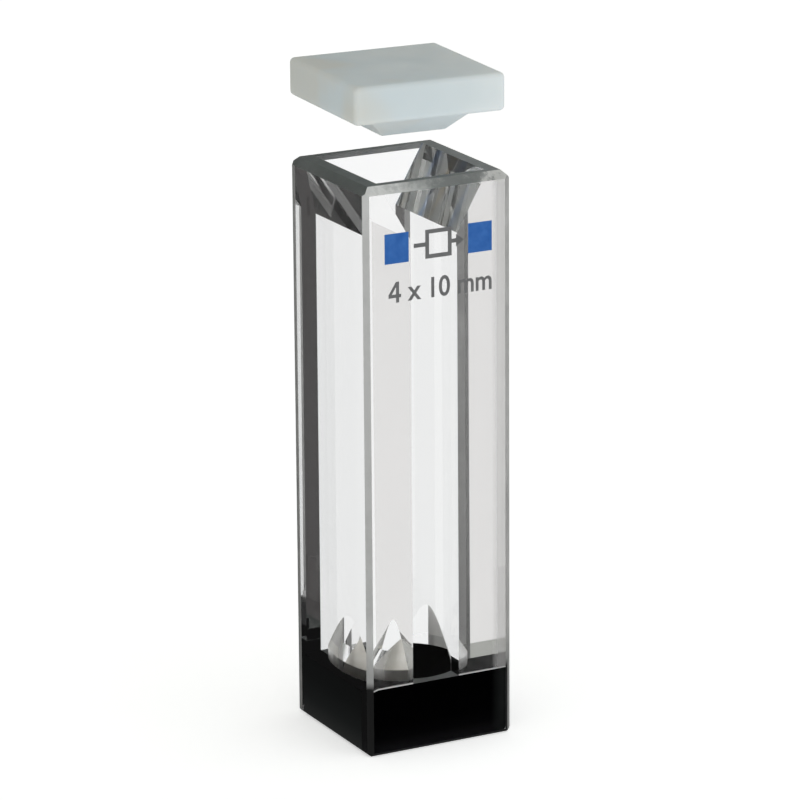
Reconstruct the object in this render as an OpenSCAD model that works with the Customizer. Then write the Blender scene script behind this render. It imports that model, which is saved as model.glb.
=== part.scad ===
// Semi-micro quartz cell for a magnetic stirrer, with its PTFE lid raised clear of the mouth.
//
// Frame: +Z up, origin at the centre of the foot. Light crosses the cell along Y, through the
// two windows; the chamber's width is along X, between the two walls.
//
// The cell is a stack of five ground plates fused face to face: two full-height windows, and
// between them a black base that carries two clear walls. Every plate is cut from one bevelled
// blank, so that the outside edges run on from plate to plate.

/* [Cell] */
// Outside width, across the two walls
cell_w = 12.5; // [11:0.1:14]
// Height from the foot to the rim
cell_h = 45; // [35:0.5:60]
// Light path, the clear distance between the two windows
path_l = 10; // [9:0.1:12]
// Thickness of each window
window_t = 1.25; // [1:0.05:2]
// Width of the chamber, between the two walls
chamber_w = 4; // [2:0.1:5]
// Width of the funnel mouth at the rim
mouth_w = 9.2; // [6:0.1:9.4]
// Slope of the funnel's faces, in degrees above the horizontal
mouth_slope = 60; // [45:1:75]

/* [Ground bevels] */
// Bevel on the four upright edges
corner_bevel = 0.5; // [0.2:0.01:0.9]
// Bevel round the rim
rim_bevel = 0.6; // [0.2:0.05:0.75]
// Bevel round the foot
foot_bevel = 0.3; // [0.2:0.05:0.9]

/* [Stirrer base] */
// Height of the black base
base_h = 5.1; // [3.5:0.1:7]
// Thickness of the floor under the stirrer pocket
floor_t = 1.5; // [0.8:0.1:2.5]
// Diameter of the stirrer pocket
pocket_d = 8.4; // [6:0.1:8.8]
// Height to which the pocket's straight side rises above the base
pocket_rise = 0.9; // [0.5:0.1:3]
// Slope of the cone that closes the pocket in to the chamber, in degrees above the horizontal
pocket_slope = 57; // [30:1:70]

/* [Lid] */
// Width of the square lid
lid_w = 12.4; // [11:0.1:14]
// Thickness of the lid's plate
lid_t = 2.95; // [2:0.05:4]
// Radius of the lid's soft edges
lid_edge_r = 0.4; // [0.1:0.05:0.8]
// Height of the plug under the plate
plug_h = 1.7; // [0.8:0.1:2]
// Slope of the plug's four sides, in degrees above the horizontal
plug_slope = 45; // [35:1:75]
// Clearance between the root of the plug and the mouth, on each side
plug_clearance = 0.25; // [0.1:0.05:0.6]

/* [Raised lid] */
// Gap between the rim and the underside of the lid's plate
lid_lift = 4.7; // [3:0.1:10]
// Turn of the raised lid about the vertical, in degrees
lid_turn = -3; // [-10:0.5:10]
// Sideways offset of the raised lid from the cell's axis
lid_shift = -0.2; // [-1:0.1:1]

/* [Hidden] */

// Clear space added past a face that a cut or an intersection passes through
over = 1;
$fn = 96;

quartz = [0.82, 0.88, 0.90, 0.35];
black_quartz = [0.03, 0.03, 0.035];
ptfe = [0.80, 0.83, 0.83];

cell_d = path_l + 2 * window_t;
mouth_depth = (mouth_w - chamber_w) / 2 * tan(mouth_slope);
pocket_r = pocket_d / 2;
pocket_side_z = base_h + pocket_rise;
pocket_tip_z = pocket_side_z + pocket_r * tan(pocket_slope);
plug_root_w = mouth_w - 2 * plug_clearance;
plug_root_l = path_l - 2 * plug_clearance;
plug_inset = plug_h / tan(plug_slope);

// A profile drawn in X and Z, drawn out to a length centred on Y = 0
module along_y(length) {
    translate([0, length / 2, 0]) rotate([90, 0, 0]) linear_extrude(length) children();
}

// A profile drawn in Y and Z, drawn out to a length centred on X = 0
module along_x(length) {
    rotate([0, 0, 90]) along_y(length) children();
}

// Rectangle on the X axis whose two lower and two upper corners are bevelled
module bevelled_upright(width, height, low, high) {
    half = width / 2;
    polygon([
        [-half + low, 0], [half - low, 0], [half, low],
        [half, height - high], [half - high, height],
        [-half + high, height], [-half, height - high], [-half, low]
    ]);
}

// The outside of the fused cell: a bar bevelled on its upright edges, its rim and its foot
module cell_blank() {
    intersection() {
        linear_extrude(cell_h)
            translate([0, -cell_d / 2])
                bevelled_upright(cell_w, cell_d, corner_bevel, corner_bevel);
        along_y(cell_d + over) bevelled_upright(cell_w, cell_h, foot_bevel, rim_bevel);
        along_x(cell_w + over) bevelled_upright(cell_d, cell_h, foot_bevel, rim_bevel);
    }
}

// The stirrer pocket as a turned space: a straight side, then a cone that narrows upwards
module stirrer_pocket() {
    rotate_extrude()
        polygon([
            [0, floor_t], [pocket_r, floor_t],
            [pocket_r, pocket_side_z], [0, pocket_tip_z]
        ]);
}

// One window; side is -1 for the front and 1 for the rear
module window(side) {
    color(quartz)
        intersection() {
            cell_blank();
            translate([-cell_w / 2, side * (path_l + window_t) / 2 - window_t / 2, 0])
                cube([cell_w, window_t, cell_h]);
        }
}

module front_window() {
    window(-1);
}

module rear_window() {
    window(1);
}

// The wall on the +X side: it stands on the base, leans away at the mouth as half of the
// funnel, and is hollowed at its foot by the stirrer pocket
module right_wall() {
    color(quartz)
        difference() {
            intersection() {
                cell_blank();
                along_y(path_l)
                    polygon([
                        [chamber_w / 2, base_h], [cell_w / 2, base_h],
                        [cell_w / 2, cell_h], [mouth_w / 2, cell_h],
                        [chamber_w / 2, cell_h - mouth_depth]
                    ]);
            }
            stirrer_pocket();
        }
}

module left_wall() {
    mirror([1, 0, 0]) right_wall();
}

// The black base between the windows, with the lower part of the stirrer pocket
module stirrer_base() {
    color(black_quartz)
        difference() {
            intersection() {
                cell_blank();
                translate([-cell_w / 2, -path_l / 2, 0]) cube([cell_w, path_l, base_h]);
            }
            stirrer_pocket();
        }
}

// Square of the given size with round corners, centred on the origin
module soft_square(size, r) {
    flat = [size[0] - 2 * r, size[1] - 2 * r];
    square([size[0], flat[1]], center = true);
    square([flat[0], size[1]], center = true);
    for (x = [-1, 1], y = [-1, 1])
        translate([x * flat[0] / 2, y * flat[1] / 2]) circle(r);
}

// The lid's square plate with every edge rounded, its underside at Z = 0
module lid_plate() {
    intersection() {
        linear_extrude(lid_t) soft_square([lid_w, lid_w], lid_edge_r);
        along_y(lid_w + over)
            translate([0, lid_t / 2]) soft_square([lid_w, lid_t], lid_edge_r);
        along_x(lid_w + over)
            translate([0, lid_t / 2]) soft_square([lid_w, lid_t], lid_edge_r);
    }
}

// Profile of the plug below Z = 0, running up into the plate by half the plate's thickness
module plug_profile(root) {
    half = root / 2;
    polygon([
        [-half, lid_t / 2], [-half, 0], [-half + plug_inset, -plug_h],
        [half - plug_inset, -plug_h], [half, 0], [half, lid_t / 2]
    ]);
}

// The four-sided plug that drops into the mouth
module lid_plug() {
    intersection() {
        along_y(plug_root_l + over) plug_profile(plug_root_w);
        along_x(plug_root_w + over) plug_profile(plug_root_l);
    }
}

module lid() {
    color(ptfe)
        translate([lid_shift, 0, cell_h + lid_lift])
            rotate([0, 0, lid_turn])
                union() {
                    lid_plate();
                    lid_plug();
                }
}

front_window();
rear_window();
left_wall();
right_wall();
stirrer_base();
lid();
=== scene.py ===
"""The looks of the stirred quartz cell: clear fused glass, black base, PTFE lid and printed marks."""

import math

import bmesh
import bpy
from mathutils import Matrix, Quaternion, Vector


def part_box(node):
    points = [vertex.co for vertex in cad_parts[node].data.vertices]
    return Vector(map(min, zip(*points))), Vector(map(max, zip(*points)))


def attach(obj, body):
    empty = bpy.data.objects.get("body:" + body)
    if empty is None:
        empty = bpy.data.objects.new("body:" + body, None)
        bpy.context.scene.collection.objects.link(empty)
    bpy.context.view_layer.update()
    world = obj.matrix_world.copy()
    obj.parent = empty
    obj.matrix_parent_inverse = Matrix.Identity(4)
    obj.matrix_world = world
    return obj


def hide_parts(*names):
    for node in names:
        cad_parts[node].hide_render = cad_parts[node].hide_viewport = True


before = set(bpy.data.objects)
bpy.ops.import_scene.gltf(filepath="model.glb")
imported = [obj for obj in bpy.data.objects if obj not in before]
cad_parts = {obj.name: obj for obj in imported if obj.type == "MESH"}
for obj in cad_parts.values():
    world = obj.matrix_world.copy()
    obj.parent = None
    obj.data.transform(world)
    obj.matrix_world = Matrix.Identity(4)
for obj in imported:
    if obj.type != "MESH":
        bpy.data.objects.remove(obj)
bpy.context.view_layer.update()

MM = 0.001
BODY = "root"

# Sizes that the boxes of the CAD nodes don't give
RIM_BEVEL = 0.6 * MM
FOOT_BEVEL = 0.3 * MM
FUNNEL_TOP_HALF = 4.6 * MM
FUNNEL_SLOPE = math.radians(60)
POCKET_R = 4.2 * MM
POCKET_FLOOR = 1.5 * MM
POCKET_RISE = 0.9 * MM
POCKET_SLOPE = math.radians(57)
LID_EDGE_R = 0.4 * MM
LID_PLATE_T = 2.95 * MM
LID_TURN = math.radians(-3)
PLUG_H = 1.7 * MM
PLUG_SLOPE = math.radians(45)
PLUG_GAP = 0.25 * MM
# Soft edges of the plug, and how far it runs up into the plate
PLUG_EDGE_R = 0.12 * MM
PLUG_ROOT_IN = 0.3 * MM

# How far the bevel of each upright edge reaches along X and along Y
CORNER_BEVELS = {
    (-1, -1): (0.43 * MM, 0.35 * MM),
    (1, -1): (0.54 * MM, 0.35 * MM),
    (-1, 1): (0.5 * MM, 0.5 * MM),
    (1, 1): (0.5 * MM, 0.5 * MM),
}
# The ground finish of the rear left edge runs on to the left side by this much
ROLLED_EDGE = 0.5 * MM

# The black base reaches this far into the glass, so that it shows as fused to it
FUSED = 0.01 * MM
# The rear half of the right wall is not fused to the base: a film of air lies under it
JOINT_GAP = 0.02 * MM
# How far a cutter reaches past what it cuts
OVER = 1.0 * MM
POCKET_STEPS = 192
# Where the frosted flank of the left wall ends on the chamber's side, along Y
FLANK_LEFT = 1.2 * MM

# The print on the front window: two square fields, a mark between them and a line below
FIELD_X = (2.53 * MM, 4.56 * MM)
FIELD_Z = (39.0 * MM, 41.32 * MM)
PRINT_OUT = 0.01 * MM
PRINT_IN = 0.01 * MM
MARK_Z = 40.15 * MM
MARK_STROKE = 0.32 * MM
MARK_HALF = 1.12 * MM
ARROW_TAIL_X = -2.1 * MM
ARROW_NECK_X = 1.5 * MM
ARROW_LAP = 0.1 * MM
ARROW_TIP_X = 2.15 * MM
ARROW_HEAD_HALF = 0.5 * MM
LINE_Z = 35.95 * MM
LINE_H = 1.62 * MM
LINE_X = (-2.63 * MM, 4.54 * MM)
FOUR_X = -4.26 * MM
FOUR_W = 1.06 * MM
FOUR_STROKE = 0.26 * MM
# The letters' size and added weight before they are fitted to the line's box
LETTER_SIZE = 2.2 * MM
LETTER_WEIGHT = 0.035 * MM

# The haze on the front joint: how thick it is, the height below which its right half is darker with
# painted shade, and how far it stays from the left and the right side
VEIL_T = 0.01 * MM
PAINTED_SHADE_BELOW = 13.4 * MM
VEIL_INSET_LEFT = 1.22 * MM
VEIL_INSET_RIGHT = 0.12 * MM
# Its left end turns forwards, to a point this far from the left side and behind the front
VEIL_END_INSET = 0.70 * MM
VEIL_END_DEPTH = 0.84 * MM

# The camera, fitted to the photograph's frame
CAMERA_AZIMUTH = math.radians(-27.543)
CAMERA_ELEVATION = math.radians(16.339)
CAMERA_ROLL = math.radians(-0.441)
CAMERA_DISTANCE = 368.32 * MM
CAMERA_AIM_Z = 26.233 * MM
CAMERA_AIM_SIDE = -0.088 * MM
FOCAL_WIDTHS = 5.977
SENSOR_MM = 36

front_low, front_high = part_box("front_window")
rear_low, rear_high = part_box("rear_window")
wall_low, wall_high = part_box("right_wall")
base_low, base_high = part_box("stirrer_base")
lid_low, lid_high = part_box("lid")

HALF_W = front_high.x
HALF_D = rear_high.y
HALF_PATH = rear_low.y
HALF_CHAMBER = wall_low.x
CELL_H = front_high.z
BASE_H = base_high.z
LID_CENTRE = (lid_low + lid_high) / 2
# The ink is fused to the glass, so that it also shows from inside the glass
PRINT_FRONT = -HALF_D - PRINT_OUT
PRINT_BACK = -HALF_D + PRINT_IN
FUNNEL_Z = CELL_H - (FUNNEL_TOP_HALF - HALF_CHAMBER) * math.tan(FUNNEL_SLOPE)


# ---------------------------------------------------------------- mesh tools


def new_object(name, bm):
    """A mesh object that holds bm, with outward normals."""
    bmesh.ops.recalc_face_normals(bm, faces=bm.faces)
    mesh = bpy.data.meshes.new(name)
    bm.to_mesh(mesh)
    bm.free()
    obj = bpy.data.objects.new(name, mesh)
    bpy.context.scene.collection.objects.link(obj)
    return obj


def block(low, high):
    """A bmesh box between two corners."""
    bm = bmesh.new()
    bmesh.ops.create_cube(bm, size=1)
    size = Vector(high) - Vector(low)
    middle = (Vector(high) + Vector(low)) / 2
    bmesh.ops.scale(bm, vec=size, verts=bm.verts)
    bmesh.ops.translate(bm, vec=middle, verts=bm.verts)
    return bm


def shave(bm, point, normal):
    """Cuts off what lies beyond a plane and closes the cut with one face."""
    everything = bm.verts[:] + bm.edges[:] + bm.faces[:]
    bmesh.ops.bisect_plane(
        bm, geom=everything, dist=1e-9, plane_co=point, plane_no=normal, clear_outer=True
    )
    rim = [e for e in bm.edges if e.is_boundary]
    if rim:
        bmesh.ops.contextual_create(bm, geom=rim)


def prism_along_y(points, low_y, high_y):
    """A bmesh prism: an outline in X and Z, drawn out along Y."""
    bm = bmesh.new()
    near = [bm.verts.new((x, low_y, z)) for x, z in points]
    far = [bm.verts.new((x, high_y, z)) for x, z in points]
    bm.faces.new(near)
    bm.faces.new(reversed(far))
    for i in range(len(points)):
        j = (i + 1) % len(points)
        bm.faces.new((near[j], near[i], far[i], far[j]))
    return bm


def turned(points, steps):
    """A bmesh solid turned about Z from (radius, z) points that start and end on the axis."""
    bm = bmesh.new()
    rings = []
    for radius, z in points:
        if radius == 0:
            rings.append([bm.verts.new((0, 0, z))] * steps)
            continue
        angles = [2 * math.pi * k / steps for k in range(steps)]
        rings.append([bm.verts.new((radius * math.cos(a), radius * math.sin(a), z)) for a in angles])
    for low, high in zip(rings, rings[1:]):
        for k in range(steps):
            j = (k + 1) % steps
            corners = [low[k], low[j], high[j], high[k]]
            bm.faces.new(list(dict.fromkeys(corners)))
    return bm


def combine(obj, cutter_bm, operation):
    """Cuts a closed bmesh out of obj, or joins it on."""
    cutter = new_object("cutter", cutter_bm)
    cut = obj.modifiers.new("cut", "BOOLEAN")
    cut.operation = operation
    cut.solver = "EXACT"
    cut.object = cutter
    depsgraph = bpy.context.evaluated_depsgraph_get()
    result = bpy.data.meshes.new_from_object(obj.evaluated_get(depsgraph))
    obj.modifiers.clear()
    old = obj.data
    obj.data = result
    bpy.data.meshes.remove(old)
    bpy.data.objects.remove(cutter)


def subtract(obj, cutter_bm):
    combine(obj, cutter_bm, "DIFFERENCE")


def score(obj, point, normal, chosen):
    """Divides the chosen faces along a plane and takes nothing away."""
    bm = bmesh.new()
    bm.from_mesh(obj.data)
    faces = [f for f in bm.faces if chosen(f)]
    edges = list({e for f in faces for e in f.edges})
    verts = list({v for f in faces for v in f.verts})
    bmesh.ops.bisect_plane(bm, geom=verts + edges + faces, dist=1e-9, plane_co=point, plane_no=normal)
    bm.to_mesh(obj.data)
    bm.free()


def smooth_within(obj, degrees):
    """Smooth shading that stays sharp across edges steeper than the angle."""
    bm = bmesh.new()
    bm.from_mesh(obj.data)
    bmesh.ops.remove_doubles(bm, verts=bm.verts, dist=1e-7)
    for face in bm.faces:
        face.smooth = True
    for edge in bm.edges:
        edge.smooth = edge.calc_face_angle(0) < math.radians(degrees)
    bm.to_mesh(obj.data)
    bm.free()


# ------------------------------------------------------------------ materials


def srgb(code):
    """Linear colour of a display colour written as a hex string."""
    values = [int(code[i : i + 2], 16) / 255 for i in (0, 2, 4)]
    linear = [v / 12.92 if v <= 0.04045 else ((v + 0.055) / 1.055) ** 2.4 for v in values]
    return (*linear, 1.0)


class NodeTree:
    """The nodes of a material or the world, with helpers to make and link them."""

    def __init__(self, data):
        self.data = data
        data.use_nodes = True
        self.nodes = data.node_tree.nodes
        self.links = data.node_tree.links

    def feed(self, socket, value):
        """Sets a socket to a number or a colour, or links another node's output to it."""
        if isinstance(value, (int, float, tuple)):
            socket.default_value = value
        else:
            self.links.new(value, socket)

    def math(self, operation, a, b=0.0):
        """One Math node; each of a and b is a number or another node's output."""
        node = self.nodes.new("ShaderNodeMath")
        node.operation = operation
        self.feed(node.inputs[0], a)
        self.feed(node.inputs[1], b)
        return node.outputs["Value"]

    def all_of(self, *masks):
        """1 where every mask is 1."""
        result = masks[0]
        for mask in masks[1:]:
            result = self.math("MULTIPLY", result, mask)
        return result

    def any_of(self, *masks):
        """1 where at least one mask is 1: the largest of them."""
        result = masks[0]
        for mask in masks[1:]:
            result = self.math("MAXIMUM", result, mask)
        return result

    def span(self, value, low, high, from_low=0.3, from_high=0.7):
        """A value carried from one range to another, and held at its ends."""
        node = self.nodes.new("ShaderNodeMapRange")
        node.inputs["From Min"].default_value = from_low
        node.inputs["From Max"].default_value = from_high
        node.inputs["To Min"].default_value = low
        node.inputs["To Max"].default_value = high
        self.links.new(value, node.inputs["Value"])
        return node.outputs["Result"]

    def ramp(self, value, stops):
        """A colour ramp of (position, hex colour) stops."""
        node = self.nodes.new("ShaderNodeValToRGB")
        elements = node.color_ramp.elements
        while len(elements) < len(stops):
            elements.new(0.5)
        for element, (where, colour) in zip(elements, stops):
            element.position = where
            element.color = srgb(colour)
        self.links.new(value, node.inputs["Fac"])
        return node.outputs["Color"]

    def dimmed(self, colour, share):
        """A colour brought down to a share of itself."""
        node = self.nodes.new("ShaderNodeVectorMath")
        node.operation = "SCALE"
        self.links.new(colour, node.inputs[0])
        self.feed(node.inputs["Scale"], share)
        return node.outputs["Vector"]

    def mixed(self, share, base, top):
        """Base where the share is 0, top where it is 1."""
        node = self.nodes.new("ShaderNodeMix")
        node.data_type = "RGBA"
        self.feed(node.inputs["Factor"], share)
        self.feed(node.inputs["A"], base)
        self.feed(node.inputs["B"], top)
        return node.outputs["Result"]


class Material(NodeTree):
    """A node material around one Principled BSDF, with helpers for its textures."""

    def __init__(self, name, **sockets):
        super().__init__(bpy.data.materials.new(name))
        self.shader = self.nodes["Principled BSDF"]
        self.place = self.nodes.new("ShaderNodeTexCoord")
        for socket, value in sockets.items():
            self.shader.inputs[socket.replace("_", " ")].default_value = value

    def stretched(self, scale):
        """Object coordinates, stretched by a factor for each axis."""
        mapping = self.nodes.new("ShaderNodeMapping")
        mapping.inputs["Scale"].default_value = scale
        self.links.new(self.place.outputs["Object"], mapping.inputs["Vector"])
        return mapping.outputs["Vector"]

    def noise(self, scale, detail=3.0, roughness=0.5, stretch=(1, 1, 1)):
        """A noise texture; scale is in cycles a metre."""
        field = self.nodes.new("ShaderNodeTexNoise")
        field.inputs["Scale"].default_value = scale
        field.inputs["Detail"].default_value = detail
        field.inputs["Roughness"].default_value = roughness
        self.links.new(self.stretched(stretch), field.inputs["Vector"])
        return field.outputs["Fac"]

    def where(self, axis):
        """A coordinate in the CAD frame, in metres."""
        split = self.nodes.new("ShaderNodeSeparateXYZ")
        self.links.new(self.place.outputs["Object"], split.inputs["Vector"])
        return split.outputs[axis]

    def drive(self, socket, value):
        self.links.new(value, self.shader.inputs[socket])

    def bump(self, value, strength, distance):
        node = self.nodes.new("ShaderNodeBump")
        node.inputs["Strength"].default_value = strength
        node.inputs["Distance"].default_value = distance
        self.links.new(value, node.inputs["Height"])
        self.links.new(node.outputs["Normal"], self.shader.inputs["Normal"])


QUARTZ_IOR = 1.4585


def polished_quartz():
    mat = Material("polished_quartz", IOR=QUARTZ_IOR, Transmission_Weight=1.0)
    mat.drive("Base Color", mat.ramp(mat.noise(90, detail=1.0), ((0.0, "fdfefe"), (1.0, "ffffff"))))
    mat.drive("Roughness", mat.span(mat.noise(700, detail=2.0), 0.0, 0.004))
    return mat.data


def ground_quartz():
    """The bevels, which are ground and not polished, with painted light: lightest at the front left
    corner.

    Painted shade makes them darker low down. In front, they are painted nearly black where the black
    base shows through them, but for the outer half of the right one.
    """
    mat = Material("ground_quartz", IOR=QUARTZ_IOR, Transmission_Weight=0.35)
    grain = mat.noise(2600, detail=4.0, roughness=0.7)
    patches = mat.noise(420, detail=2.0)
    # Painted light and shade: lightest at the front left, darker towards the back and the right; the
    # grain and patches are random tone
    across = mat.math("ADD", mat.where("Y"), mat.math("MULTIPLY", mat.where("X"), 0.5))
    spread = mat.span(across, 0.0, 1.0, -9 * MM, 3 * MM)
    uneven = mat.math("ADD", mat.span(grain, -0.08, 0.08), mat.span(patches, -0.16, 0.16))
    tone = mat.math("ADD", spread, uneven)
    colour = mat.ramp(tone, ((0.0, "cdcdcb"), (0.5, "b0b0ad"), (1.0, "8a8a89")))
    height = mat.where("Z")
    # Painted shade: darker low down
    colour = mat.dimmed(colour, mat.span(height, 0.84, 0.98, 6 * MM, 38 * MM))
    # Painted shade: nearly black in front, just above the top of the base, where the black base shows
    # through, but not on the outer half of the right bevel
    risen = mat.span(height, 0.03, 1.0, BASE_H + 0.4 * MM, BASE_H + 1.0 * MM)
    outer = mat.span(mat.where("X"), 0.0, 1.0, HALF_W - 0.35 * MM, HALF_W - 0.23 * MM)
    behind = mat.math("GREATER_THAN", mat.where("Y"), 0.0)
    mat.drive("Base Color", mat.dimmed(colour, mat.any_of(risen, outer, behind)))
    mat.drive("Roughness", mat.span(mat.noise(900, detail=3.0), 0.5, 0.72))
    mat.bump(grain, 0.25, 0.02 * MM)
    return mat.data


# Display colours of the rim from the left side of the cell to the right: painted light and shade,
# darker at the left. Its front bevel is painted light where the hazy joint lies behind it and painted
# dark where the funnel does.
RIM_LIGHT_AND_SHADE = ((0.0, "666b69"), (0.5, "7a7f7d"), (1.0, "9a9d9c"))
FRONT_BEVEL_LIGHT_AND_SHADE = (
    (0.0, "d2d3d0"),
    (0.11, "dedfdc"),
    (0.22, "c6c7c4"),
    (0.34, "b2b4b1"),
    (0.50, "8a8d8b"),
    (0.70, "858886"),
    (0.80, "8e918f"),
    (0.88, "cacac6"),
    (1.0, "cecfca"),
)


def rim_quartz(name, light_and_shade_stops, unevenness):
    """The rim, ground finer than the other bevels; its painted light and shade run from left to right.
    """
    mat = Material(name, IOR=QUARTZ_IOR, Transmission_Weight=0.3)
    grain = mat.noise(1500, detail=4.0, roughness=0.7)
    along = mat.span(mat.where("X"), 0.0, 1.0, -HALF_W, HALF_W)
    tone = mat.math("ADD", along, mat.span(grain, -unevenness, unevenness))
    # Painted light and shade: the colour runs through the given stops from the left side to the right
    mat.drive("Base Color", mat.ramp(tone, light_and_shade_stops))
    mat.drive("Roughness", mat.span(mat.noise(700, detail=3.0), 0.38, 0.55))
    mat.bump(grain, 0.2, 0.02 * MM)
    return mat.data


def funnel_quartz():
    """The funnel's faces, polished with faint strokes down the slope.

    The right one has painted reflections, soft blue and straw streaks; the left one has a painted
    greenish light.
    """
    mat = Material("funnel_quartz", IOR=QUARTZ_IOR, Transmission_Weight=1.0)
    strokes = mat.noise(260, detail=2.0, stretch=(0.3, 3.0, 0.3))
    # Painted reflections: soft blue and straw streaks for the right face
    split = mat.ramp(
        mat.noise(180, detail=1.0, stretch=(0.3, 3.0, 0.3)),
        ((0.34, "8fb2ea"), (0.42, "eef6f4"), (0.56, "f6f8f2"), (0.66, "f0d698")),
    )
    # Painted greenish light for the left face
    painted_green_light = mat.ramp(strokes, ((0.3, "dfe8e5"), (0.7, "eef4f2")))
    mat.drive("Base Color", mat.mixed(mat.math("GREATER_THAN", mat.where("X"), 0.0), painted_green_light, split))
    mat.drive("Roughness", mat.span(strokes, 0.0, 0.04))
    return mat.data


# Where the pocket's frost ends. Each flank ends at an upright plane that meets the chamber's side:
# the right flank's plane at Y = 0, the left flank's at Y = FLANK_LEFT. The two numbers of a plane
# are the X and Y parts of its normal, without their signs.
RIGHT_PLANE = (0.887, 0.462)
LEFT_PLANE = (0.59, 0.80)
PATCH_INSET = 0.75 * MM
PATCH_TOP = BASE_H + 1.65 * MM
CLEAR_TOP = BASE_H + 2.2 * MM
DOME_LEAN = 1.9
DOME_TOP = 4.6 * MM
POCKET_SIDE_Z = BASE_H + POCKET_RISE


def pocket_quartz():
    """The turned inside of the stirrer pocket, frosted in patches.

    The right wall has a frosted flank in front of an upright plane and to its right, in a light tone of
    painted light. The left wall has one behind such a plane and to its left, in a grey tone of painted
    shade, with a creamy patch low down and a creamy
    dome in front, both painted light. Frosted parts on the straight side below the cone are painted
    darker as shade. The rest of the left wall is clear below CLEAR_TOP. What is left has alpha 0:
    light passes it unbent.
    """
    mat = Material("pocket_quartz", IOR=QUARTZ_IOR)
    rings = mat.noise(500, detail=3.0, stretch=(1, 1, 4.0))
    x, y, height = mat.where("X"), mat.where("Y"), mat.where("Z")
    is_right = mat.math("GREATER_THAN", x, 0.0)
    is_left = mat.math("LESS_THAN", x, 0.0)

    past = mat.math("MULTIPLY", mat.math("SUBTRACT", x, HALF_CHAMBER), RIGHT_PLANE[0])
    run = mat.math("SUBTRACT", past, mat.math("MULTIPLY", y, RIGHT_PLANE[1]))
    right_flank = mat.all_of(is_right, mat.math("GREATER_THAN", run, 0.0))

    past = mat.math("MULTIPLY", mat.math("ADD", x, HALF_CHAMBER), LEFT_PLANE[0])
    run = mat.math("SUBTRACT", mat.math("MULTIPLY", y, LEFT_PLANE[1]), past)
    left_flank = mat.all_of(is_left, mat.math("GREATER_THAN", run, LEFT_PLANE[1] * FLANK_LEFT))
    inner = mat.math("GREATER_THAN", run, LEFT_PLANE[1] * (FLANK_LEFT + PATCH_INSET))
    patch = mat.all_of(is_left, mat.math("LESS_THAN", height, PATCH_TOP), inner)

    lean = mat.math("ADD", height, mat.math("MULTIPLY", y, DOME_LEAN))
    dome = mat.all_of(is_left, mat.math("LESS_THAN", lean, DOME_TOP))
    clear = mat.all_of(is_left, mat.math("LESS_THAN", height, CLEAR_TOP))
    frost = mat.any_of(right_flank, left_flank, dome)

    # Painted light and shade: the right flank gets a light tone, the left flank a grey one, and the
    # patch and the dome a creamy light
    painted_light_tone = mat.ramp(rings, ((0.3, "e6e4e1"), (0.7, "eceae7")))
    painted_shade_tone = mat.ramp(rings, ((0.3, "b0aeaa"), (0.7, "b6b4b0")))
    painted_creamy_light = mat.ramp(rings, ((0.3, "dcd6c8"), (0.7, "f0ece0")))
    colour = mat.mixed(is_right, painted_shade_tone, painted_light_tone)
    colour = mat.mixed(mat.any_of(patch, dome), colour, painted_creamy_light)
    # Painted shade: frosted parts on the straight side below the cone are darker
    cone = mat.span(height, 0.62, 1.0, POCKET_SIDE_Z - 0.05 * MM, POCKET_SIDE_Z)
    colour = mat.mixed(frost, (1.0, 1.0, 1.0, 1.0), mat.dimmed(colour, cone))
    mat.drive("Base Color", colour)
    mat.drive("Transmission Weight", mat.span(frost, 1.0, 0.85, 0.0, 1.0))
    ground = mat.math("MULTIPLY", frost, 0.40)
    mat.drive("Roughness", mat.math("ADD", mat.span(rings, 0.02, 0.06), ground))
    mat.drive("Alpha", mat.any_of(frost, clear))
    return mat.data


def veil_material():
    """A thin haze in the front joint, faint; painted light makes it denser at the right and nearly
    solid along its foot, and painted shade darkens its right half low down.
    """
    mat = Material("joint_haze", Roughness=1.0, Specular_IOR_Level=0.0)
    cloud = mat.noise(120, detail=2.0)
    clear = mat.ramp(cloud, ((0.3, "f6f5f3"), (0.7, "fcfbfa")))
    left = mat.math("LESS_THAN", mat.where("X"), 0.0)
    # Painted shade: the right half is darker below a set height
    risen = mat.span(mat.where("Z"), 0.87, 1.0, PAINTED_SHADE_BELOW - 0.1 * MM, PAINTED_SHADE_BELOW + 0.1 * MM)
    mat.drive("Base Color", mat.dimmed(clear, mat.math("MAXIMUM", left, risen)))
    # Painted light: a nearly solid light line along the foot and a denser strip at the right side
    foot = mat.span(mat.where("Z"), 0.95, 0.0, BASE_H + 0.06 * MM, BASE_H + 0.16 * MM)
    side = mat.span(mat.where("X"), 0.0, 0.35, HALF_W - 1.4 * MM, HALF_W - 0.7 * MM)
    mat.drive("Alpha", mat.any_of(foot, side, mat.span(cloud, 0.02, 0.05)))
    return mat.data


def black_material(name, gloss, roughness, stops, ledge=None, end=None):
    """Black fused quartz, a little lighter at the foot with painted light.

    It can have a lighter strip of painted light on the top between the walls, and a lighter right end
    of painted light.
    """
    mat = Material(name, Specular_IOR_Level=gloss)
    x, height = mat.where("X"), mat.where("Z")
    # Painted light: the colour stops make the black lighter towards the foot
    colour = mat.ramp(mat.span(height, 0.0, 1.0, 0.0, BASE_H), stops)
    # Painted light: a lighter right end
    if end:
        at_end = mat.span(x, 0.0, 1.0, HALF_W - 1.4 * MM, HALF_W - 0.4 * MM)
        colour = mat.mixed(at_end, colour, srgb(end))
    # Painted light: a lighter strip on the top between the walls
    if ledge:
        between = mat.math("LESS_THAN", mat.math("ABSOLUTE", x), HALF_CHAMBER)
        on_top = mat.math("GREATER_THAN", height, BASE_H + FUSED / 2)
        colour = mat.mixed(mat.math("MULTIPLY", between, on_top), colour, srgb(ledge))
    mat.drive("Base Color", colour)
    mat.drive("Roughness", mat.span(mat.noise(800), roughness * 0.8, roughness * 1.2))
    return mat.data


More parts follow.
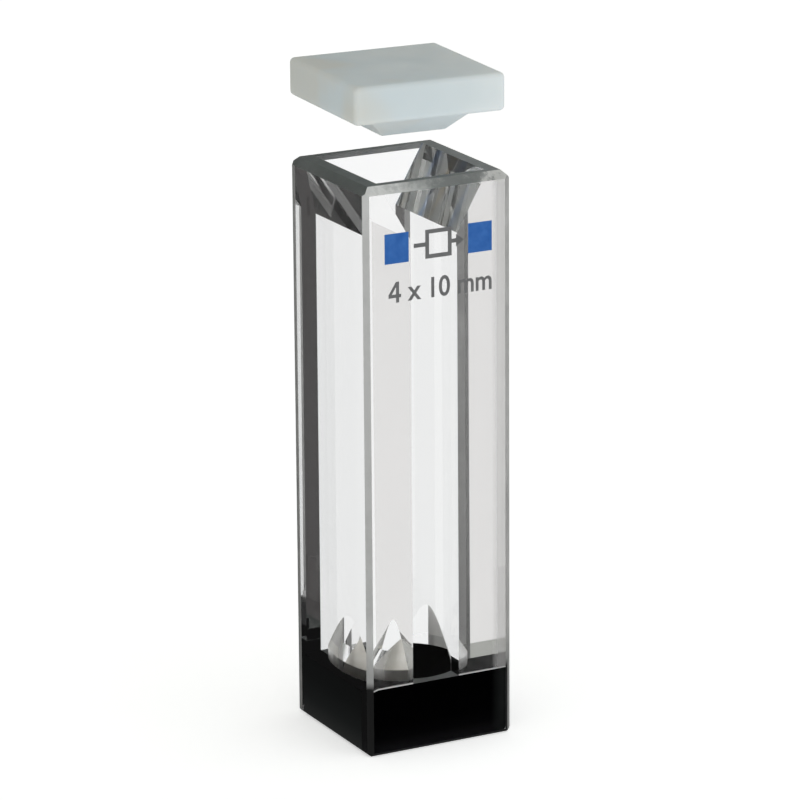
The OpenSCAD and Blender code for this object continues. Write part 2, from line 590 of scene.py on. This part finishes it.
def open_black():
    """The base's open faces, outside and in the pocket: polished."""
    # Painted light: lighter at the foot
    stops = ((0.0, "2c2d2d"), (0.35, "141717"), (0.7, "070a0a"), (1.0, "040606"))
    return black_material("base_black", 0.25, 0.12, stops)


def black_under_glass():
    """Black quartz that is fused to glass, so that it has no gloss of its own."""
    # Painted light: a little lighter at the foot
    stops = ((0.0, "1c1c1e"), (0.2, "070709"), (0.4, "020203"), (1.0, "010102"))
    # Painted light: a grey strip on the top between the walls and a dark grey right end
    return black_material("black_under_glass", 0.0, 1.0, stops, ledge="6a6c6b", end="242626")


def ptfe_material():
    mat = Material("lid_ptfe", Subsurface_Weight=0.5, Subsurface_Scale=1.0 * MM)
    mat.shader.inputs["Subsurface Radius"].default_value = (1.2, 1.1, 1.0)
    # Painted light: warmer at the left, lighter and bluer towards the right; the noise is random tone
    across = mat.span(mat.where("X"), 0.0, 1.0, -HALF_W, HALF_W)
    tone = mat.math("ADD", across, mat.span(mat.noise(150, detail=2.0), -0.35, 0.35))
    mat.drive("Base Color", mat.ramp(tone, ((0.0, "dfe1dc"), (0.3, "dde6e8"), (1.0, "e9efef"))))
    mat.drive("Roughness", mat.span(mat.noise(900), 0.42, 0.56))
    mat.bump(mat.noise(3000, detail=4.0), 0.15, 0.02 * MM)
    return mat.data


def print_material(name, dark, light):
    mat = Material(name, Specular_IOR_Level=0.2)
    mat.drive("Base Color", mat.ramp(mat.noise(1500, detail=4.0), ((0.3, dark), (0.7, light))))
    mat.drive("Roughness", mat.span(mat.noise(2500), 0.55, 0.75))
    return mat.data


# --------------------------------------------------------------------- pieces


def cell_blank():
    """The outside of the fused cell, bevelled on its upright edges, its rim and its foot."""
    bm = block((-HALF_W, -HALF_D, 0), (HALF_W, HALF_D, CELL_H))
    for (sx, sy), (reach_x, reach_y) in CORNER_BEVELS.items():
        edge = Vector((sx * HALF_W, sy * (HALF_D - reach_y), 0))
        shave(bm, edge, (sx * reach_y, sy * reach_x, 0))
    for sx, sy in ((-1, 0), (1, 0), (0, -1), (0, 1)):
        side = Vector((sx * HALF_W, sy * HALF_D, 0))
        shave(bm, side + Vector((0, 0, CELL_H - RIM_BEVEL)), (sx, sy, 1))
        shave(bm, side + Vector((0, 0, FOOT_BEVEL)), (sx, sy, -1))
    return bm


def pocket():
    """The stirrer pocket's space: a straight side, then a cone that narrows upwards."""
    tip_z = POCKET_SIDE_Z + POCKET_R * math.tan(POCKET_SLOPE)
    outline = [(0, POCKET_FLOOR), (POCKET_R, POCKET_FLOOR), (POCKET_R, POCKET_SIDE_Z), (0, tip_z)]
    return turned(outline, POCKET_STEPS)


POLISHED, GROUND, FUNNEL, POCKET, RIM, FRONT_RIM = range(6)
ROLLED_FROM_Y = HALF_D - CORNER_BEVELS[(-1, 1)][1] - ROLLED_EDGE


def glass_finish(face):
    """Which of the glass's finishes a face has, from where it lies and how it faces."""
    n, c = face.normal, face.center
    near_rim = c.z > CELL_H - RIM_BEVEL - 1e-6
    outside = max(abs(c.x), abs(c.y)) > HALF_PATH
    if near_rim and n.z > 0.6:
        return FRONT_RIM if n.y < -0.6 else RIM
    if outside and max(abs(n.x), abs(n.y), abs(n.z)) < 0.95:
        return GROUND
    if n.x < -0.99 and c.y > ROLLED_FROM_Y:
        return GROUND
    if c.z > FUNNEL_Z and 0.4 < n.z < 0.6:
        return FUNNEL
    on_box = max(abs(n.x), abs(n.y), abs(n.z)) > 0.99999
    if c.z < BASE_H + 3 * POCKET_R and not on_box:
        return POCKET
    return POLISHED


def on_left_side(face):
    return face.normal.x < -0.999 and face.calc_center_median().x < -HALF_PATH


def make_glass():
    """The windows and walls as the one fused piece that they are in the real cell."""
    glass = new_object("quartz_cell", cell_blank())
    top = CELL_H + OVER
    spread = OVER / math.tan(FUNNEL_SLOPE)
    chamber = [
        (-HALF_CHAMBER, BASE_H - OVER),
        (HALF_CHAMBER, BASE_H - OVER),
        (HALF_CHAMBER, FUNNEL_Z),
        (FUNNEL_TOP_HALF + spread, top),
        (-FUNNEL_TOP_HALF - spread, top),
        (-HALF_CHAMBER, FUNNEL_Z),
    ]
    wide = HALF_W + OVER
    subtract(glass, block((-wide, -HALF_PATH, -OVER), (wide, HALF_PATH, BASE_H)))
    subtract(glass, block((0, 0, 0), (wide, HALF_PATH, BASE_H + JOINT_GAP)))
    subtract(glass, prism_along_y(chamber, -HALF_PATH, HALF_PATH))
    subtract(glass, pocket())
    score(glass, Vector((0, ROLLED_FROM_Y, 0)), (0, 1, 0), on_left_side)
    smooth_within(glass, 20)
    finishes = (
        polished_quartz(),
        ground_quartz(),
        funnel_quartz(),
        pocket_quartz(),
        rim_quartz("rim_quartz", RIM_LIGHT_AND_SHADE, 0.08),
        rim_quartz("front_rim_quartz", FRONT_BEVEL_LIGHT_AND_SHADE, 0.16),
    )
    glass.data.materials.clear()
    for finish in finishes:
        glass.data.materials.append(finish)
    for face in glass.data.polygons:
        face.material_index = glass_finish(face)
    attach(glass, BODY)
    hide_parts("front_window", "rear_window", "left_wall", "right_wall")


def add_slanted_end(bm, x):
    """Carries the left haze on from x to the front left edge, as a thin upright slanted sheet."""
    end_x, end_y = -HALF_W + VEIL_END_INSET, -HALF_D + VEIL_END_DEPTH
    rings = []
    for z in (BASE_H, CELL_H - RIM_BEVEL):
        outline = ((x, -HALF_PATH), (end_x, end_y), (end_x, end_y - VEIL_T), (x, -HALF_PATH - VEIL_T))
        rings.append([bm.verts.new((px, py, z)) for px, py in outline])
    bm.faces.new(rings[0])
    bm.faces.new(rings[1])
    for k in range(4):
        j = (k + 1) % 4
        bm.faces.new((rings[0][k], rings[0][j], rings[1][j], rings[1][k]))


def make_veil():
    """A thin haze with painted light and shade, behind the front window, in front of each wall and cut
    off along the funnel.
    """
    haze = veil_material()
    near, far = -HALF_PATH - VEIL_T, -HALF_PATH
    for name, sx, inset in (("left", -1, VEIL_INSET_LEFT), ("right", 1, VEIL_INSET_RIGHT)):
        outer = HALF_W - inset
        points = [
            (sx * HALF_CHAMBER, BASE_H),
            (sx * outer, BASE_H),
            (sx * outer, CELL_H - RIM_BEVEL),
            (sx * (FUNNEL_TOP_HALF - RIM_BEVEL / math.tan(FUNNEL_SLOPE)), CELL_H - RIM_BEVEL),
            (sx * HALF_CHAMBER, FUNNEL_Z),
        ]
        bm = prism_along_y(points, near, far)
        if sx < 0:
            add_slanted_end(bm, -outer)
        veil = new_object(f"joint_haze_{name}", bm)
        veil.data.materials.append(haze)
        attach(veil, BODY)


def make_base():
    """The black base. Its faces that are fused to glass have no gloss of their own."""
    reach_y = HALF_PATH + FUSED
    bm = block((-HALF_W, -reach_y, 0), (HALF_W, reach_y, BASE_H + FUSED))
    for sx in (-1, 1):
        shave(bm, Vector((sx * HALF_W, 0, FOOT_BEVEL)), (sx, 0, -1))
    base = new_object("black_base", bm)
    subtract(base, pocket())
    smooth_within(base, 20)
    base.data.materials.clear()
    base.data.materials.append(open_black())
    base.data.materials.append(black_under_glass())
    for face in base.data.polygons:
        under_window = abs(face.center.y) > HALF_PATH
        under_wall = face.center.z > BASE_H
        face.material_index = 1 if under_window or under_wall else 0
    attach(base, BODY)
    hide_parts("stirrer_base")


def lid_half_width():
    """Half the lid's width, from its turned box."""
    box_half = (lid_high.x - lid_low.x) / 2
    flat = box_half - LID_EDGE_R
    return flat / (math.cos(LID_TURN) + abs(math.sin(LID_TURN))) + LID_EDGE_R


def soft_block(low, high, radius, segments=6):
    """A bmesh box with rounded edges."""
    bm = block(low, high)
    bmesh.ops.bevel(bm, geom=bm.edges[:], offset=radius, segments=segments, profile=0.5, affect="EDGES")
    return bm


def plug_form(top, root_x, root_y):
    """The plug: a box whose four sides lean in below the plate."""
    inset = PLUG_H / math.tan(PLUG_SLOPE)
    bm = bmesh.new()
    rings = []
    for dx, z in ((0, top + PLUG_ROOT_IN), (0, top), (inset, top - PLUG_H)):
        x, y = root_x - dx, root_y - dx
        corners = ((-1, -1), (1, -1), (1, 1), (-1, 1))
        rings.append([bm.verts.new((sx * x, sy * y, z)) for sx, sy in corners])
    bm.faces.new(rings[0])
    bm.faces.new(rings[-1])
    for low, high in zip(rings, rings[1:]):
        for k in range(4):
            bm.faces.new((low[k], low[(k + 1) % 4], high[(k + 1) % 4], high[k]))
    bmesh.ops.recalc_face_normals(bm, faces=bm.faces)
    bmesh.ops.bevel(bm, geom=bm.edges[:], offset=PLUG_EDGE_R, segments=3, profile=0.5, affect="EDGES")
    return bm


def make_lid():
    """The PTFE lid: a soft-edged square plate over a four-sided plug."""
    ptfe = ptfe_material()
    half = lid_half_width()
    under = lid_high.z - LID_PLATE_T
    place = Matrix.Translation((LID_CENTRE.x, LID_CENTRE.y, 0)) @ Matrix.Rotation(LID_TURN, 4, "Z")
    plate = soft_block((-half, -half, under), (half, half, lid_high.z), LID_EDGE_R)
    lid = new_object("ptfe_lid", plate)
    combine(lid, plug_form(under, FUNNEL_TOP_HALF - PLUG_GAP, HALF_PATH - PLUG_GAP), "UNION")
    lid.data.transform(place)
    smooth_within(lid, 40)
    lid.data.materials.clear()
    lid.data.materials.append(ptfe)
    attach(lid, BODY)
    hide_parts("lid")


# ------------------------------------------------------------------------ print


def print_piece(name, bm, ink):
    """Gives a flat bmesh its ink and fixes it on the front window."""
    piece = new_object(name, bm)
    piece.data.materials.append(ink)
    piece.visible_diffuse = False
    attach(piece, BODY)
    return piece


def bar(low_x, high_x, low_z, high_z):
    """A thin printed rectangle on the front window."""
    return block((low_x, PRINT_FRONT, low_z), (high_x, PRINT_BACK, high_z))


def add_to(bm, part):
    """Adds the faces of one bmesh to another and frees it."""
    mesh = bpy.data.meshes.new("part")
    part.to_mesh(mesh)
    part.free()
    bm.from_mesh(mesh)
    bpy.data.meshes.remove(mesh)


def path_mark():
    """A plain mark for the light path: an arrow through an upright square."""
    half, t = MARK_HALF, MARK_STROKE
    strokes = [
        (-half, half, MARK_Z + half - t, MARK_Z + half),
        (-half, half, MARK_Z - half, MARK_Z - half + t),
        (-half, -half + t, MARK_Z - half + t, MARK_Z + half - t),
        (half - t, half, MARK_Z - half + t, MARK_Z + half - t),
        (ARROW_TAIL_X, -half, MARK_Z - t / 2, MARK_Z + t / 2),
        (half, ARROW_NECK_X + ARROW_LAP, MARK_Z - t / 2, MARK_Z + t / 2),
    ]
    bm = bmesh.new()
    for stroke in strokes:
        add_to(bm, bar(*stroke))
    head = [
        (ARROW_NECK_X, MARK_Z - ARROW_HEAD_HALF),
        (ARROW_TIP_X, MARK_Z),
        (ARROW_NECK_X, MARK_Z + ARROW_HEAD_HALF),
    ]
    add_to(bm, prism_along_y(head, PRINT_FRONT, PRINT_BACK))
    return bm


def figure_four():
    """The figure 4 in three strokes: the upright, what is left of it and the crossbar's end."""
    x, z, t = FOUR_X, LINE_Z, FOUR_STROKE
    stem = x + 0.60 * FOUR_W
    bar_z = z + 0.24 * LINE_H
    left = [
        (x, bar_z),
        (stem, bar_z),
        (stem, bar_z + t),
        (x + 0.26 * FOUR_W, bar_z + t),
        (stem, z + 0.76 * LINE_H),
        (stem, z + LINE_H),
        (x, bar_z + t),
    ]
    return [
        prism_along_y(left, PRINT_FRONT, PRINT_BACK),
        bar(stem, stem + t, z, z + LINE_H),
        bar(stem + t, x + FOUR_W, bar_z, bar_z + t),
    ]


def size_line():
    """The chamber's width and the light path in plain figures, as a bmesh."""
    curve = bpy.data.curves.new("size_line", "FONT")
    curve.body = "x 10 mm"
    curve.size = LETTER_SIZE
    curve.extrude = PRINT_OUT
    curve.offset = LETTER_WEIGHT
    letters = bpy.data.objects.new("size_line", curve)
    bpy.context.scene.collection.objects.link(letters)
    depsgraph = bpy.context.evaluated_depsgraph_get()
    mesh = bpy.data.meshes.new_from_object(letters.evaluated_get(depsgraph))
    bpy.data.objects.remove(letters)
    bm = bmesh.new()
    bm.from_mesh(mesh)
    bpy.data.meshes.remove(mesh)
    low = Vector([min(v.co[i] for v in bm.verts) for i in range(3)])
    high = Vector([max(v.co[i] for v in bm.verts) for i in range(3)])
    size = high - low
    for v in bm.verts:
        x = LINE_X[0] + (LINE_X[1] - LINE_X[0]) * (v.co.x - low.x) / size.x
        y = PRINT_BACK + (PRINT_FRONT - PRINT_BACK) * (v.co.z - low.z) / size.z
        z = LINE_Z + LINE_H * (v.co.y - low.y) / size.y
        v.co = Vector((x, y, z))
    bmesh.ops.remove_doubles(bm, verts=bm.verts, dist=1e-8)
    for stroke in figure_four():
        add_to(bm, stroke)
    return bm


def make_print():
    """Two blue fields, a plain mark between them and a line of figures under them."""
    blue = print_material("print_blue", "2a62ae", "3a70ba")
    grey = print_material("print_grey", "6c6c6c", "787878")
    for name, side in (("left", -1), ("right", 1)):
        low, high = sorted(side * x for x in FIELD_X)
        print_piece(f"print_{name}_field", bar(low, high, *FIELD_Z), blue)
    print_piece("print_path_mark", path_mark(), grey)
    print_piece("print_size_line", size_line(), grey)


# -------------------------------------------------------------- room and camera


# What the floor adds to itself for the camera alone, so that it is white where it is lit
FLOOR_LIFT = 0.46
FLOOR_HALF_M = 3.0


def make_floor():
    """A white floor that keeps the object's shadow, white to the camera where it is lit."""
    bm = bmesh.new()
    bmesh.ops.create_grid(bm, x_segments=1, y_segments=1, size=FLOOR_HALF_M)
    floor = new_object("floor", bm)
    mat = Material("floor_white", Roughness=1.0, Specular_IOR_Level=0.0)
    mat.drive("Base Color", mat.ramp(mat.noise(8), ((0.3, "fafafa"), (0.7, "ffffff"))))
    path = mat.nodes.new("ShaderNodeLightPath")
    mat.shader.inputs["Emission Color"].default_value = (1, 1, 1, 1)
    lift = mat.math("MULTIPLY", path.outputs["Is Camera Ray"], FLOOR_LIFT)
    mat.drive("Emission Strength", lift)
    floor.data.materials.append(mat.data)
    floor.visible_diffuse = False
    floor.visible_glossy = False
    floor.visible_transmission = False
    floor.visible_shadow = False


class World(NodeTree):
    """The studio: what each kind of ray sees when it leaves the object."""

    def __init__(self):
        super().__init__(bpy.data.worlds.new("studio"))
        bpy.context.scene.world = self.data
        self.path = self.nodes.new("ShaderNodeLightPath")
        self.place = self.nodes.new("ShaderNodeTexCoord")
        self.split = self.nodes.new("ShaderNodeSeparateXYZ")
        self.links.new(self.place.outputs["Generated"], self.split.inputs["Vector"])

    def around(self, stops):
        """A colour that changes with the compass angle, in degrees from +Y towards +X."""
        angle = self.math("ARCTAN2", self.split.outputs["X"], self.split.outputs["Y"])
        turn = self.math("ADD", self.math("DIVIDE", angle, 2 * math.pi), 0.5)
        return self.ramp(turn, [((degrees + 180) / 360, colour) for degrees, colour in stops])

    def towards(self, direction, stops):
        """A colour that changes from -1, away from a direction, to 1, along it."""
        dot = self.nodes.new("ShaderNodeVectorMath")
        dot.operation = "DOT_PRODUCT"
        dot.inputs[1].default_value = direction
        self.links.new(self.place.outputs["Generated"], dot.inputs[0])
        share = self.math("ADD", self.math("MULTIPLY", dot.outputs["Value"], 0.5), 0.5)
        return self.ramp(share, [((cosine + 1) / 2, colour) for cosine, colour in stops])

    def over(self, output, base, top):
        """The top colour for rays whose Light Path value is 1 or more, else the base."""
        return self.mixed(self.math("GREATER_THAN", self.path.outputs[output], 0.5), base, top)


# The room round the white table: degrees from +Y towards +X, and a display colour.
# Light that leaves the glass downwards after it was turned round sees the low part,
# light that leaves it upwards sees the high part.
LOW_ROOM = (
    (-180, "5c5c5c"),
    (-150, "8a8a8a"),
    (-118, "b0b0b0"),
    (-75, "b8b8b8"),
    (-40, "dad8d6"),
    (-10, "ffffff"),
    (60, "ffffff"),
    (85, "c8c8c8"),
    (112, "ececee"),
    (132, "ececee"),
    (146, "484645"),
    (165, "454344"),
    (180, "5c5c5c"),
)
HIGH_ROOM = (
    (-180, "2a2c2b"),
    (-120, "4a4e4d"),
    (-77, "b4b5b2"),
    (-40, "a2a49f"),
    (-10, "b4b4b0"),
    (16, "c4c3c1"),
    (34, "a8aaa7"),
    (43, "ffffff"),
    (66, "ffffff"),
    (85, "8c9290"),
    (120, "3c403e"),
    (180, "2a2c2b"),
)
STUDIO_KEY = (0.298, -0.745, -0.596)
STUDIO = ((-1.0, "b2b2ad"), (0.0, "d9dbda"), (1.0, "fafdff"))
WHITE = (1.0, 1.0, 1.0, 1)
# How much of the low room the outer faces show: nearly none, so that the black base stays black
MIRROR_SHARE = 0.06


def make_world():
    """White behind the glass, a graded room for light that the glass has turned round."""
    world = World()
    low, high = world.around(LOW_ROOM), world.around(HIGH_ROOM)
    up = world.span(world.split.outputs["Z"], 0.0, 1.0, -0.01, 0.03)
    studio = world.towards(STUDIO_KEY, STUDIO)
    glass = world.over("Glossy Depth", WHITE, low)
    glass = world.mixed(up, glass, high)
    glass = world.over("Diffuse Depth", glass, WHITE)
    open_air = world.over("Is Glossy Ray", studio, world.dimmed(low, MIRROR_SHARE))
    open_air = world.over("Diffuse Depth", open_air, studio)
    colour = world.over("Transmission Depth", open_air, glass)
    colour = world.over("Is Camera Ray", colour, WHITE)
    background = world.nodes["Background"]
    world.links.new(colour, background.inputs["Color"])
    background.inputs["Strength"].default_value = 1.0


def make_camera():
    data = bpy.data.cameras.new("camera")
    cam = bpy.data.objects.new("camera", data)
    bpy.context.scene.collection.objects.link(cam)
    bpy.context.scene.camera = cam
    flat = math.cos(CAMERA_ELEVATION)
    back = Vector(
        (
            math.sin(CAMERA_AZIMUTH) * flat,
            -math.cos(CAMERA_AZIMUTH) * flat,
            math.sin(CAMERA_ELEVATION),
        )
    )
    side = Vector((0, 0, 1)).cross(back).normalized()
    cam.location = Vector((0, 0, CAMERA_AIM_Z)) + side * CAMERA_AIM_SIDE + back * CAMERA_DISTANCE
    cam.rotation_mode = "QUATERNION"
    roll = Quaternion((0, 0, 1), CAMERA_ROLL)
    cam.rotation_quaternion = (-back).to_track_quat("-Z", "Y") @ roll
    data.sensor_width = SENSOR_MM
    data.lens = FOCAL_WIDTHS * SENSOR_MM
    data.clip_start, data.clip_end = 0.01, 10


scene = bpy.context.scene
scene.view_settings.view_transform = "Standard"
scene.cycles.max_bounces = 40
scene.cycles.transmission_bounces = 32
scene.cycles.glossy_bounces = 32
scene.cycles.transparent_max_bounces = 32

make_camera()
make_glass()
make_veil()
make_base()
make_lid()
make_print()
make_floor()
make_world()
